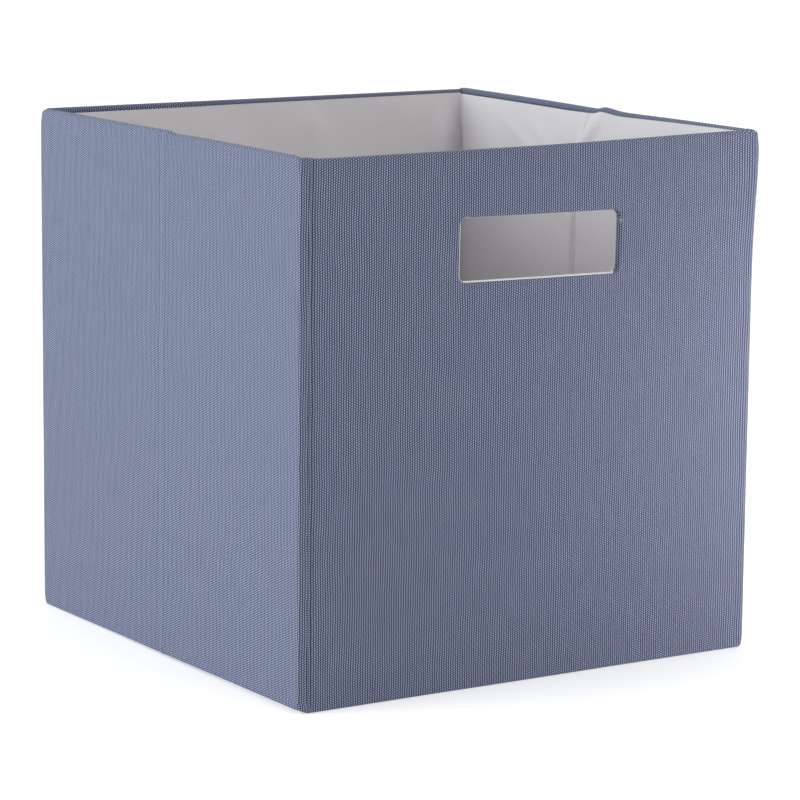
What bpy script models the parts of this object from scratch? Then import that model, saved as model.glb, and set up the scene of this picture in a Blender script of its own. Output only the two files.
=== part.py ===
"""A folding fabric storage bin with a hand hole, standing open.

Metres, +Z up. The origin is the middle of the underside, the front wall faces -Y and the
hand hole is in it. Each wall is a board between an outer cover and a lining. The two side
walls are creased down the middle, so that they fold inwards and the front wall comes back
against the rear one. A loose board lies in the bottom and keeps the bin square.
"""

import math

import bmesh
import bpy
from mathutils import Vector

# Overall size, outside
WIDTH = 0.330
DEPTH = 0.330
HEIGHT = 0.330

# Layers of a wall, from the outside in
COVER = 0.0009
BOARD = 0.0030
LINING = 0.0006
GAP = 0.0003  # clearance between pieces that lie against each other

# Rim, corners and crease
RIM_TURN = 0.0030  # how far the cover is turned down inside the rim
EDGE_ROUND = 0.0008
FOOT_ROUND = 0.0018
CREASE = 0.0010  # slit between the cloth of the two halves of a side wall
CREASE_CHANNEL = 0.0100  # between the boards of the two halves
RIM_SLACK = 0.0024  # the boards stop this far below the rim
FRONT_SETBACK = 0.0042  # from the end of the front or back wall to its board
SIDE_SETBACK = 0.0026  # from the end of a side wall to its board

# Hand hole in the front wall
HOLE_WIDTH = 0.1170
HOLE_HEIGHT = 0.0395
HOLE_SHIFT = 0.0039  # the hole's middle lies this far right of the wall's
HOLE_DROP = 0.0420  # from the rim down to the hole
HOLE_CORNER = 0.0050
CORNER_STEPS = 4  # straight pieces in a quarter circle

# Bottom
BASE_CLOTH = 0.0009
BASE_LINING = 0.0004
INSERT_CLOTH = 0.0004
INSERT_BOARD = 0.0018
INSERT_PLAY = 0.0015  # between the insert and each wall
INSERT_FLAP = 0.0180  # width of the cloth turned under the insert's board

# Worked out from the sizes above
WALL = COVER + GAP + BOARD + GAP + LINING
HALF_WIDTH = WIDTH / 2
HALF_DEPTH = DEPTH / 2
INNER_X = HALF_WIDTH - WALL
INNER_Y = HALF_DEPTH - WALL
BASE_LINING_Z = BASE_CLOTH + GAP
INSERT_Z = BASE_LINING_Z + BASE_LINING + GAP
INSERT_TOP = INSERT_Z + 2 * INSERT_CLOTH + 2 * GAP + INSERT_BOARD
WALL_FOOT = INSERT_TOP + GAP  # the folding walls clear the insert and the base
HOLE_Z = HEIGHT - HOLE_DROP - HOLE_HEIGHT / 2
PAST = 0.010  # how far a cutter reaches past what it cuts

COVER_BLUE = (0.150, 0.166, 0.247)
LINING_WHITE = (0.560, 0.550, 0.580)
BOARD_GREY = (0.330, 0.290, 0.240)


def clear_scene():
    for old in list(bpy.data.objects):
        bpy.data.objects.remove(old, do_unlink=True)


def material(name, colour, roughness):
    """A plain Principled finish for one piece."""
    mat = bpy.data.materials.new(name)
    mat.use_nodes = True
    shader = mat.node_tree.nodes["Principled BSDF"]
    shader.inputs["Base Color"].default_value = (*colour, 1)
    shader.inputs["Roughness"].default_value = roughness
    shader.inputs["Metallic"].default_value = 0.0
    return mat


def add_object(name, mesh_in, origin=Vector()):
    """An object of a bmesh given in world coordinates, with its origin at a point."""
    mesh = bpy.data.meshes.new(name)
    bmesh.ops.translate(mesh_in, verts=mesh_in.verts, vec=-origin)
    bmesh.ops.recalc_face_normals(mesh_in, faces=mesh_in.faces)
    mesh_in.to_mesh(mesh)
    mesh_in.free()
    obj = bpy.data.objects.new(name, mesh)
    bpy.context.collection.objects.link(obj)
    obj.location = origin
    return obj


def block_mesh(low, high):
    """A bmesh box between two corners."""
    low, high = Vector(low), Vector(high)
    box = bmesh.new()
    bmesh.ops.create_cube(box, size=1)
    size = high - low
    bmesh.ops.scale(box, verts=box.verts, vec=size)
    bmesh.ops.translate(box, verts=box.verts, vec=(low + high) / 2)
    return box


def slot_mesh(width, height, radius, y_low, y_high):
    """A bmesh bar along Y through the hand hole, with rounded corners."""
    outline = []
    corners = ((1, 1, 0), (-1, 1, 90), (-1, -1, 180), (1, -1, 270))
    for side_x, side_z, start in corners:
        centre_x = HOLE_SHIFT + side_x * (width / 2 - radius)
        centre_z = HOLE_Z + side_z * (height / 2 - radius)
        for step in range(CORNER_STEPS + 1):
            angle = math.radians(start + 90 * step / CORNER_STEPS)
            x = centre_x + radius * math.cos(angle)
            z = centre_z + radius * math.sin(angle)
            outline.append((x, z))
    bar = bmesh.new()
    ring = [bar.verts.new((x, y_low, z)) for x, z in outline]
    face = bar.faces.new(ring)
    grown = bmesh.ops.extrude_face_region(bar, geom=[face])
    moved = [v for v in grown["geom"] if isinstance(v, bmesh.types.BMVert)]
    bmesh.ops.translate(bar, verts=moved, vec=(0, y_high - y_low, 0))
    return bar


def tool(name, mesh_in):
    """A hidden object that only cuts or joins."""
    obj = add_object(name, mesh_in)
    obj.hide_render = True
    obj.display_type = "WIRE"
    return obj


def boolean(obj, other, operation):
    mod = obj.modifiers.new(other.name, "BOOLEAN")
    mod.object = other
    mod.operation = operation
    mod.solver = "EXACT"


def round_edges(obj, width):
    mod = obj.modifiers.new("rounding", "BEVEL")
    mod.width = width
    mod.segments = 2
    mod.limit_method = "ANGLE"


class Wall:
    """One rigid panel of the bin: a cover, a board and a lining.

    The panel runs along X (front and back) or along Y (the side halves). outer and inner
    are the coordinates of its two faces across its thickness; start and end are its ends
    along its length. capped says which ends the cover is turned round, and setback is
    how far the board stands back from them.
    """

    def __init__(self, name, along, outer, inner, start, end, capped, setback, hinge):
        self.name = name
        self.along = along
        self.outer = outer
        self.inward = 1 if inner > outer else -1
        self.start = start
        self.end = end
        self.capped = capped
        self.setback = setback
        self.hinge = hinge

    def corners(self, depth, ends, heights):
        """Two corners of a box, from depths into the wall, ends along it and heights."""
        across = sorted(self.outer + self.inward * d for d in depth)
        if self.along == "X":
            low = (ends[0], across[0], heights[0])
            high = (ends[1], across[1], heights[1])
        else:
            low = (across[0], ends[0], heights[0])
            high = (across[1], ends[1], heights[1])
        return low, high

    def inset(self, at_cap, at_open):
        """The ends of a layer that stops short of the panel's own ends."""
        first = self.start + (at_cap if self.capped[0] else at_open)
        last = self.end - (at_cap if self.capped[1] else at_open)
        return first, last

    def piece(self, layer, box, colour, roughness):
        name = f"{self.name}_{layer}"
        obj = add_object(name, block_mesh(*box), self.hinge.matrix_world.translation.copy())
        obj.data.materials.append(material(name, colour, roughness))
        hold(obj, self.hinge)
        return obj

    def cover(self):
        """The outer cloth: its face, the turn over the rim and the turns at capped ends."""
        heights = (WALL_FOOT, HEIGHT)
        box = self.corners((0, WALL), (self.start, self.end), heights)
        obj = self.piece("cover", box, COVER_BLUE, 0.9)
        round_edges(obj, EDGE_ROUND)
        ends = self.inset(COVER, -PAST)
        pocket = (COVER, WALL - LINING)
        mouth = (COVER + BOARD / 2, WALL + PAST)
        low = WALL_FOOT - PAST
        board_room = self.corners(pocket, ends, (low, HEIGHT - COVER))
        lining_room = self.corners(mouth, ends, (low, HEIGHT - RIM_TURN))
        boolean(obj, tool(f"{self.name}_pocket", block_mesh(*board_room)), "DIFFERENCE")
        boolean(obj, tool(f"{self.name}_mouth", block_mesh(*lining_room)), "DIFFERENCE")
        return obj

    def board(self):
        depth = (COVER + GAP, COVER + GAP + BOARD)
        ends = self.inset(self.setback, (CREASE_CHANNEL - CREASE) / 2)
        heights = (WALL_FOOT, HEIGHT - RIM_SLACK)
        return self.piece("board", self.corners(depth, ends, heights), BOARD_GREY, 0.8)

    def lining(self):
        depth = (WALL - LINING, WALL)
        ends = self.inset(COVER + GAP, 0)
        heights = (WALL_FOOT, HEIGHT - RIM_TURN - GAP)
        return self.piece("lining", self.corners(depth, ends, heights), LINING_WHITE, 0.9)


def hold(obj, parent):
    """Parents an object to an empty and leaves it where it is."""
    obj.parent = parent
    obj.location = obj.location - parent.matrix_world.translation


def hinge_line(name, x, y, parent):
    """An empty on a vertical hinge line, held by another."""
    empty = bpy.data.objects.new(name, None)
    bpy.context.collection.objects.link(empty)
    empty.location = (x, y, 0)
    if parent:
        hold(empty, parent)
    bpy.context.view_layer.update()
    return empty


def hinge_lines():
    """The empties of the fold: down each side from the back wall to the front wall."""
    back = hinge_line("back_wall", 0, 0, None)
    left_rear = hinge_line("left_rear_fold", -INNER_X, INNER_Y, back)
    left_front = hinge_line("left_front_fold", -HALF_WIDTH, 0, left_rear)
    front = hinge_line("front_fold", -INNER_X, -INNER_Y, left_front)
    right_rear = hinge_line("right_rear_fold", INNER_X, INNER_Y, back)
    right_front = hinge_line("right_front_fold", HALF_WIDTH, 0, right_rear)
    return {
        "back": back,
        "left_rear": left_rear,
        "left_front": left_front,
        "front": front,
        "right_rear": right_rear,
        "right_front": right_front,
    }


def side_walls(hinges):
    """Four half panels. Each covers the full depth of a front or back wall's end."""
    for side, outward in (("left", -1), ("right", 1)):
        outer, inner = outward * HALF_WIDTH, outward * INNER_X
        rear = (CREASE / 2, HALF_DEPTH, (False, True))
        front = (-HALF_DEPTH, -CREASE / 2, (True, False))
        for end, (start, stop, capped) in (("rear", rear), ("front", front)):
            name = f"{side}_{end}"
            args = (outer, inner, start, stop, capped, SIDE_SETBACK)
            wall = Wall(name, "Y", *args, hinges[name])
            wall.cover()
            wall.board()
            wall.lining()


def back_wall(hinges):
    reach = INNER_X - GAP
    args = ("X", HALF_DEPTH, INNER_Y, -reach, reach, (True, True), FRONT_SETBACK)
    wall = Wall("back", *args, hinges["back"])
    wall.cover()
    wall.board()
    wall.lining()


def front_wall(hinges):
    """The front panel. Its cover is turned in round the hand hole."""
    reach = INNER_X - GAP
    args = ("X", -HALF_DEPTH, -INNER_Y, -reach, reach, (True, True), FRONT_SETBACK)
    wall = Wall("front", *args, hinges["front"])
    outer, inner = -HALF_DEPTH, -INNER_Y
    cover, board, lining = wall.cover(), wall.board(), wall.lining()

    turned = 2 * COVER
    sleeve = slot_mesh(
        HOLE_WIDTH + turned, HOLE_HEIGHT + turned, HOLE_CORNER + COVER, outer + COVER / 2, inner
    )
    boolean(cover, tool("hole_sleeve", sleeve), "UNION")
    hole = slot_mesh(HOLE_WIDTH, HOLE_HEIGHT, HOLE_CORNER, outer - PAST, inner + PAST)
    boolean(cover, tool("hole_cut", hole), "DIFFERENCE")

    spare = 2 * (COVER + GAP)
    room = slot_mesh(
        HOLE_WIDTH + spare, HOLE_HEIGHT + spare, HOLE_CORNER + spare / 2, outer - PAST, inner + PAST
    )
    room = tool("hole_room", room)
    boolean(board, room, "DIFFERENCE")
    boolean(lining, room, "DIFFERENCE")


def base(hinges):
    """The bottom cloth, a shallow tray below the walls, and the lining that lies in it."""
    home = hinges["back"]
    low, high = (-HALF_WIDTH, -HALF_DEPTH, 0), (HALF_WIDTH, HALF_DEPTH, INSERT_TOP + PAST)
    tray = add_object("base_cover", block_mesh(low, high))
    tray.data.materials.append(material("base_cover", COVER_BLUE, 0.9))
    hold(tray, home)
    round_edges(tray, FOOT_ROUND)
    room_x, room_y = HALF_WIDTH - BASE_CLOTH, HALF_DEPTH - BASE_CLOTH
    inside = ((-room_x, -room_y, BASE_CLOTH), (room_x, room_y, INSERT_TOP + 2 * PAST))
    boolean(tray, tool("base_room", block_mesh(*inside)), "DIFFERENCE")
    over_x, over_y = HALF_WIDTH + PAST, HALF_DEPTH + PAST
    above = ((-over_x, -over_y, INSERT_TOP), (over_x, over_y, INSERT_TOP + 3 * PAST))
    boolean(tray, tool("base_brim", block_mesh(*above)), "DIFFERENCE")

    lining_x, lining_y = room_x - FOOT_ROUND, room_y - FOOT_ROUND
    low = (-lining_x, -lining_y, BASE_LINING_Z)
    high = (lining_x, lining_y, BASE_LINING_Z + BASE_LINING)
    sheet = add_object("base_lining", block_mesh(low, high))
    sheet.data.materials.append(material("base_lining", LINING_WHITE, 0.9))
    hold(sheet, home)


def insert(hinges):
    """The loose bottom board, in a cloth cover turned under its edges. It lifts out."""
    lift = hinge_line("insert_lift", 0, 0, hinges["back"])
    reach_x, reach_y = INNER_X - INSERT_PLAY, INNER_Y - INSERT_PLAY
    low, high = (-reach_x, -reach_y, INSERT_Z), (reach_x, reach_y, INSERT_TOP)
    cloth = add_object("insert_cover", block_mesh(low, high))
    cloth.data.materials.append(material("insert_cover", LINING_WHITE, 0.9))
    hold(cloth, lift)
    in_x, in_y = reach_x - INSERT_CLOTH, reach_y - INSERT_CLOTH
    in_low, in_high = INSERT_Z + INSERT_CLOTH, INSERT_TOP - INSERT_CLOTH
    room = block_mesh((-in_x, -in_y, in_low), (in_x, in_y, in_high))
    boolean(cloth, tool("insert_room", room), "DIFFERENCE")
    open_x, open_y = reach_x - INSERT_FLAP, reach_y - INSERT_FLAP
    middle = (in_low + in_high) / 2
    under = block_mesh((-open_x, -open_y, INSERT_Z - PAST), (open_x, open_y, middle))
    boolean(cloth, tool("insert_underside", under), "DIFFERENCE")

    board_x, board_y = in_x - GAP, in_y - GAP
    low = (-board_x, -board_y, in_low + GAP)
    high = (board_x, board_y, in_high - GAP)
    board = add_object("insert_board", block_mesh(low, high))
    board.data.materials.append(material("insert_board", BOARD_GREY, 0.8))
    hold(board, lift)


clear_scene()
lines = hinge_lines()
back_wall(lines)
side_walls(lines)
front_wall(lines)
base(lines)
insert(lines)
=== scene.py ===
"""The looks of a folding fabric storage bin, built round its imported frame.

The bin is put together as in the workshop: boards, outer cloth, lining, stitching, bottom.
Everything is in metres. -Y is the front, with the hand hole, and +Z is up.
"""

import math

import bmesh
import bpy
import numpy as np
from mathutils import Matrix, Vector


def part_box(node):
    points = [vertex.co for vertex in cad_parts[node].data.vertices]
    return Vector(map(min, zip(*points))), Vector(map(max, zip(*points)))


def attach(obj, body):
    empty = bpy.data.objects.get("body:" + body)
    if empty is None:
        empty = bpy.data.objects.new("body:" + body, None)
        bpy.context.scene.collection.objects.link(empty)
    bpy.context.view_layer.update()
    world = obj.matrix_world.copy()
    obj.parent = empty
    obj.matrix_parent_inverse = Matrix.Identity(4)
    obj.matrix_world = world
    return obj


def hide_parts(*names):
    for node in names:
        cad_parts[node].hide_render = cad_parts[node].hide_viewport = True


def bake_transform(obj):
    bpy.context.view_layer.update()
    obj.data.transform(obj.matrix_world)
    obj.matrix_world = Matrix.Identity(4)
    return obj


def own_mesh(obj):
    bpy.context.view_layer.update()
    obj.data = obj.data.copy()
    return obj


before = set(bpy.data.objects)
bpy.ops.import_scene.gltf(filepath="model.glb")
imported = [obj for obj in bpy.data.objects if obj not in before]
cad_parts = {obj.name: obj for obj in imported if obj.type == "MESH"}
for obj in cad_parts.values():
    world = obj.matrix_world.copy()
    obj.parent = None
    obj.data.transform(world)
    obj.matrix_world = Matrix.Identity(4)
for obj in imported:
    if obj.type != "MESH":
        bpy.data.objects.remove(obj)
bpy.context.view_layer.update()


# ------------ wall boards
# Six stiff grey boards hold the walls up: one in front, one behind and two in each creased
# side. They are die cut from pressed paper board and slipped between cover and lining.


def new_material(name, roughness, **more):
    """A material with a Principled shader, its node tree and that shader."""
    mat = bpy.data.materials.new(name)
    mat.use_nodes = True
    shader = mat.node_tree.nodes["Principled BSDF"]
    shader.inputs["Roughness"].default_value = roughness
    shader.inputs["Specular IOR Level"].default_value = 0.25
    for key, value in more.items():
        shader.inputs[key.replace("_", " ")].default_value = value
    return mat, mat.node_tree, shader


def add_node(tree, kind, **values):
    """A node with some of its properties and input values set by name."""
    node = tree.nodes.new(kind)
    for key, value in values.items():
        if hasattr(node, key):
            setattr(node, key, value)
        else:
            node.inputs[key.replace("_", " ")].default_value = value
    return node


def math_node(tree, operation, *values):
    """A Math node. Each value is a number or the socket that feeds it."""
    node = tree.nodes.new("ShaderNodeMath")
    node.operation = operation
    for socket, value in zip(node.inputs, values):
        if isinstance(value, (int, float)):
            socket.default_value = value
        else:
            tree.links.new(value, socket)
    return node.outputs[0]


def mix_colours(tree, factor, first, second):
    """A Mix node for two colours, each a triple or a socket."""
    node = tree.nodes.new("ShaderNodeMix")
    node.data_type = "RGBA"
    for name, value in (("Factor", factor), ("A", first), ("B", second)):
        socket = [s for s in node.inputs if s.name == name and s.enabled][0]
        if isinstance(value, tuple):
            socket.default_value = (*value, 1)
        elif isinstance(value, (int, float)):
            socket.default_value = value
        else:
            tree.links.new(value, socket)
    return [s for s in node.outputs if s.enabled][0]


def stretch(tree, place, scale):
    """A place, stretched by a scale in each direction."""
    mapping = add_node(tree, "ShaderNodeMapping", Scale=scale)
    tree.links.new(place, mapping.inputs["Vector"])
    return mapping.outputs["Vector"]


def noise(tree, place, **values):
    """A Noise texture's value at a place."""
    texture = add_node(tree, "ShaderNodeTexNoise", **values)
    tree.links.new(place, texture.inputs["Vector"])
    return texture.outputs["Fac"]


def bump(tree, shader, height, strength, distance):
    node = add_node(tree, "ShaderNodeBump", Strength=strength, Distance=distance)
    tree.links.new(height, node.inputs["Height"])
    tree.links.new(node.outputs["Normal"], shader.inputs["Normal"])


def board_material():
    """Grey-brown pressed board with long pale fibres."""
    mat, tree, shader = new_material("grey_board", 0.85)
    place = add_node(tree, "ShaderNodeTexCoord")
    along_fibres = stretch(tree, place.outputs["Object"], (900, 900, 220))
    fibres = noise(tree, along_fibres, Scale=1.0, Detail=4.0, Roughness=0.65)
    colour = mix_colours(tree, fibres, (0.20, 0.17, 0.135), (0.42, 0.37, 0.31))
    tree.links.new(colour, shader.inputs["Base Color"])
    bump(tree, shader, fibres, 0.4, 0.0001)
    return mat


grey_board = board_material()
side_halves = ("left_rear", "left_front", "right_rear", "right_front")
for part in ("front", "back", *side_halves, "insert"):
    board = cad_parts[f"{part}_board"]
    board.data.materials.clear()
    board.data.materials.append(grey_board)


# ------------ outer cloth
# One heavy two-tone cloth wraps all four walls: dark blue warp with pale dotted weft, in
# columns. It is drawn over the rim and turned down inside, and it sinks into a channel
# beside each corner where the front or back board ends.

side_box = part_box("left_front_cover")
HALF_WIDTH = -side_box[0].x
HALF_DEPTH = -side_box[0].y
WALL = side_box[1].x - side_box[0].x
FOOT = side_box[0].z
HEIGHT = side_box[1].z
CLOTH = 0.0007
FLAT_STEP = 0.0032  # between grid lines where the cloth is flat
CREASE_STEP = 0.0008
CREASE_ZONE = 0.0064  # finer grid lines this far each side of a crease
CORNER_ROUND = {"front_left": 0.0011, "front_right": 0.0042, "rear_right": 0.0025, "rear_left": 0.0025}
STRIP_END = 0.0060  # the channel starts this far in from the corner
CHANNEL_END = 0.0104
CHANNEL_DEPTH = {"front_left": 0.0012, "front_right": 0.0002, "rear_right": 0.0016, "rear_left": 0.0016}
RIM_RISE = 0.0022  # height of the roll over the rim
LIP = 0.0012  # the cloth goes on down this far below the roll, inside
ROWS = 78  # grid lines up the face of a wall
ROW_CROWDING = 0.97  # under 1, they lie a little closer together towards the rim
RIM_STEPS = 10  # grid lines over the rim's roll
CORNER_LINES = 8  # grid lines round a corner
CHANNEL_LINES = 15  # grid lines across a channel
TINY = 1e-6


def corner_path(depth, radius):
    """One corner from the side wall round to the front or back wall.

    Each point is (p, q): p in from the side's outer face, q in from the other's. The path
    rounds the corner, runs along the side wall's end and dips into the channel.
    """
    points = [(0, q) for q in np.linspace(CHANNEL_END, radius, 7)]
    for turn in np.linspace(0, math.pi / 2, CORNER_LINES)[1:]:
        points.append((radius * (1 - math.cos(turn)), radius * (1 - math.sin(turn))))
    points += [(p, 0) for p in np.linspace(radius, STRIP_END, 6)[1:]]
    for share in np.linspace(0, 1, CHANNEL_LINES)[1:]:
        p = STRIP_END + share * (CHANNEL_END - STRIP_END)
        points.append((p, depth * 0.5 * (1 - math.cos(2 * math.pi * share))))
    return np.array(points)


def inner_corner(share):
    """The turn of the cloth inside the corner, for a share of the way round it."""
    run = CHANNEL_END - WALL
    along = share * 2 * run
    if along < run:
        return WALL, CHANNEL_END - along
    return WALL + along - run, WALL


def flat_steps(start, end, crease_at_start=False, crease_at_end=False):
    """Places along a straight run of wall, closer together beside a crease."""
    sign = 1 if end > start else -1
    low, high = start, end
    before, after = [], []
    if crease_at_start:
        low = start + sign * CREASE_ZONE
        before = list(np.arange(start, low - sign * TINY, sign * CREASE_STEP))
    if crease_at_end:
        high = end - sign * CREASE_ZONE
        after = list(np.arange(high, end - sign * TINY, sign * CREASE_STEP))[1:]
    count = max(2, round(abs(high - low) / FLAT_STEP) + 1)
    return np.array(before + list(np.linspace(low, high, count)) + after + ([end] if after else []))


def perimeter():
    """The lines of the cloth round the bin, anticlockwise from the left crease.

    Returns the outer points, the points of the inner face that each is turned over to, the
    outward directions, the lengths along the cloth, and where each corner's parts start.
    """
    outer, inner, marks = [], [], {}
    x_end, y_end = HALF_WIDTH - CHANNEL_END, HALF_DEPTH - CHANNEL_END

    def run(points, depth_points):
        skip = 1 if outer else 0
        outer.extend(points[skip:])
        inner.extend(depth_points[skip:])

    def side(x, start, end, crease_first):
        ys = flat_steps(start, end, crease_first, not crease_first)
        inside = x - math.copysign(WALL, x)
        run([(x, y) for y in ys], [(inside, y) for y in ys])

    def across(y, start, end):
        xs = flat_steps(start, end)
        inside = y - math.copysign(WALL, y)
        run([(x, y) for x in xs], [(x, inside) for x in xs])

    def turn(name, signs, side_first):
        path = corner_path(CHANNEL_DEPTH[name], CORNER_ROUND[name])
        steps = np.linalg.norm(np.diff(path, axis=0), axis=1)
        share = np.concatenate([[0], np.cumsum(steps)]) / steps.sum()
        inside = np.array([inner_corner(s) for s in share])
        strip = int(np.argmin(abs(path[:, 0] - STRIP_END) + path[:, 1]))
        order = slice(None) if side_first else slice(None, None, -1)
        size = np.array([HALF_WIDTH, HALF_DEPTH])
        first = len(outer) - 1
        last = len(path) - 1
        run(*([tuple(np.array(signs) * (size - p)) for p in line[order]] for line in (path, inside)))
        marks[name] = {
            "strip": first + (strip if side_first else last - strip),
            "flat": first + (last if side_first else 0),
            "middle": first + ((strip + last) // 2 if side_first else last - (strip + last) // 2),
        }

    side(-HALF_WIDTH, 0, -y_end, True)
    turn("front_left", (-1, -1), True)
    across(-HALF_DEPTH, -x_end, x_end)
    turn("front_right", (1, -1), False)
    side(HALF_WIDTH, -y_end, 0, False)
    side(HALF_WIDTH, 0, y_end, True)
    turn("rear_right", (1, 1), True)
    across(HALF_DEPTH, x_end, -x_end)
    turn("rear_left", (-1, 1), False)
    side(-HALF_WIDTH, y_end, 0, False)
    outer, inner = np.array(outer), np.array(inner)
    step = np.diff(outer, axis=0)
    along = np.concatenate([[0], np.cumsum(np.linalg.norm(step, axis=1))])
    ahead = np.vstack([step, step[:1]])
    behind = np.vstack([step[-1:], step])
    unit = ahead / np.linalg.norm(ahead, axis=1)[:, None]
    unit += behind / np.linalg.norm(behind, axis=1)[:, None]
    unit /= np.linalg.norm(unit, axis=1)[:, None]
    outward = np.column_stack([unit[:, 1], -unit[:, 0]])
    return outer, inner, outward, along, marks


def swell(value, centre, width):
    """A smooth bump, 1 at its centre and nearly 0 two widths away."""
    return np.exp(-(((value - centre) / width) ** 2))


def slow_waves(a, b, seed, length):
    """A gentle unevenness between about -1 and 1 over a surface."""
    chance = np.random.default_rng(seed)
    total = np.zeros(np.broadcast(a, b).shape)
    for _ in range(7):
        angle, phase = chance.uniform(0, math.pi), chance.uniform(0, 2 * math.pi)
        size = length * chance.uniform(0.6, 1.8)
        across = (a * math.cos(angle) + b * math.sin(angle)) / size
        total = total + np.sin(2 * math.pi * across + phase)
    return total / 4


FRONT_DIP = 0.0015  # the front rim hangs this much low in the middle
FRONT_RISE = {"right": 0.0020, "left": 0.0014}  # it comes up again towards each end
LAP_STEP = 0.0006  # half the step in the left rim where the cloth laps at the crease
LAP_PLACE = -0.0086
RIGHT_LUMP = 0.0016  # folded cloth lifts the right rim over its crease
LUMP_PLACE = -0.008
RIGHT_SAG = 0.0007
BACK_DIP = 0.0004


def rim_change(x, y):
    """How far the rim stands above or below its nominal height, all round."""
    front = (y < -HALF_DEPTH + CHANNEL_END) * 1.0
    left = (x < -HALF_WIDTH + 0.003) * (1 - front)
    right = (x > HALF_WIDTH - 0.003) * (1 - front)
    back = (1 - front) * (1 - left) * (1 - right)
    across = x / HALF_WIDTH
    rise = FRONT_RISE["right"] * swell(across, 1.0, 0.62)
    change = front * (-FRONT_DIP + rise + FRONT_RISE["left"] * swell(across, -1.0, 0.06))
    step = LAP_STEP * np.tanh((y - LAP_PLACE) / 0.0028) * swell(y, 0.0, 0.035)
    change = change + left * (0.0003 + step - 0.0006 * swell(y, HALF_DEPTH, 0.03))
    lump = (y - LUMP_PLACE) / np.where(y < LUMP_PLACE, 0.013, 0.0045)
    sag = RIGHT_SAG * swell(y, -0.010, 0.060)
    change = change + right * (RIGHT_LUMP * np.exp(-(lump**2)) + 0.0003 - sag)
    change = change - back * (BACK_DIP + 0.0003 * across)
    edge = np.maximum(HALF_WIDTH - abs(x), HALF_DEPTH - abs(y))
    drop = np.where(x * y < 0, 0.0030, 0.0004)
    return change - drop * swell(edge, 0.0, 0.0024)


WALL_SWELL = 0.0005  # the cloth stands off the board in the middle of a wall
WALL_UNEVEN = 0.00022
CREASE_SINK = 0.00035
CREASE_RIDGE = 0.0004  # a low ridge runs beside the crease
CORNER_LEAN = 0.0016  # the front right corner bulges outwards, most of all near the rim
CORNER_LEAN_TOP = 0.0026
CORNER_PULL = 0.0016  # the cloth is pulled in over the corners at rim and foot
FOOT_RISE = 0.0021


def cloth_shift(x, y, z, out):
    """How far the cloth lies off the flat wall: a slight swell, the creases and the corners."""
    side = abs(x) > HALF_WIDTH - 0.002
    along = np.where(side, y, x)
    level = (z - FOOT) / (HEIGHT - FOOT)
    span = np.clip(1 - (along / 0.160) ** 2, 0, 1)
    shift = WALL_SWELL * span * np.clip(4 * level * (1 - level), 0, 1)
    shift = shift + WALL_UNEVEN * slow_waves(along, z, 3, 0.11) * np.sqrt(span)
    crease_y = np.where(x < 0, 0.0004 + 0.0040 * (1 - level), 0.0)
    crease = side * swell(y, crease_y, 0.0024)
    shift = shift - CREASE_SINK * crease + CREASE_RIDGE * side * swell(y, crease_y - 0.0034, 0.0030)
    move = out * shift[..., None]
    at_front_right = swell(x, HALF_WIDTH, 0.018) * swell(y, -HALF_DEPTH, 0.070)
    lean = (CORNER_LEAN + CORNER_LEAN_TOP * swell(z, 0.315, 0.040)) * at_front_right
    move = move + lean[..., None] * np.array([1.0, -0.2])
    edge = np.maximum(HALF_WIDTH - abs(x), HALF_DEPTH - abs(y))
    ends = swell(z, HEIGHT, 0.0055) * np.where(x * y < 0, 1.0, 0.3) + 0.6 * swell(z, 0.0, 0.004)
    pull = CORNER_PULL * swell(edge, 0.0, 0.0024) * np.clip(ends, 0, 1)
    return move - pull[..., None] * np.stack([np.sign(x), np.sign(y)], axis=-1)


def foot_lift(x, y, z):
    """How far the foot stands off the floor: the left side rises a little towards the front."""
    forward = np.clip((HALF_DEPTH - y) / (2 * HALF_DEPTH), 0, 1)
    on_left = np.clip(1 - (x + HALF_WIDTH) / STRIP_END, 0, 1)
    return FOOT_RISE * forward * on_left * np.clip(1 - z / 0.060, 0, 1) ** 2


outer_line, inner_line, outward_line, length_line, marks = perimeter()


def wall_grid(first, last):
    """Points and cloth coordinates of the outer cloth between two lines of the perimeter."""
    count = len(length_line)
    index = np.arange(first, last + 1) % (count - 1)
    wraps = np.arange(first, last + 1) >= count - 1
    u = length_line[index] + wraps * length_line[-1]
    outer, inner, out = outer_line[index], inner_line[index], outward_line[index]
    rim = HEIGHT - RIM_RISE + rim_change(outer[:, 0], outer[:, 1])
    points, cloth = [], []
    for part in np.linspace(0, 1, ROWS) ** ROW_CROWDING:
        z = FOOT + part * (rim - FOOT)
        place = outer + cloth_shift(outer[:, 0], outer[:, 1], z, out)
        points.append(np.column_stack([place, z + foot_lift(outer[:, 0], outer[:, 1], z)]))
        cloth.append(np.column_stack([u, z]))
    top = points[-1]
    run = RIM_RISE * math.pi / 2 + WALL / 2
    for step in range(1, RIM_STEPS + 1):
        angle = math.pi * step / RIM_STEPS
        plan = top[:, :2] + (inner - top[:, :2]) * (1 - math.cos(angle)) / 2
        points.append(np.column_stack([plan, rim + RIM_RISE * math.sin(angle)]))
        cloth.append(np.column_stack([u, rim + run * step / RIM_STEPS]))
    for step in (0.4, 1.0):
        points.append(np.column_stack([inner, rim - LIP * step]))
        cloth.append(np.column_stack([u, rim + run + LIP * step]))
    return np.array(points), np.array(cloth)


def grid_faces(rows, columns, skip=None):
    """The quads of a grid, stored row by row, facing out when columns run anticlockwise."""
    faces = []
    for r in range(rows - 1):
        for c in range(columns - 1):
            if skip and skip[0] <= c < skip[1] and skip[2] <= r < skip[3]:
                continue
            a = r * columns + c
            faces.append((a, a + 1, a + columns + 1, a + columns))
    return faces


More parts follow.
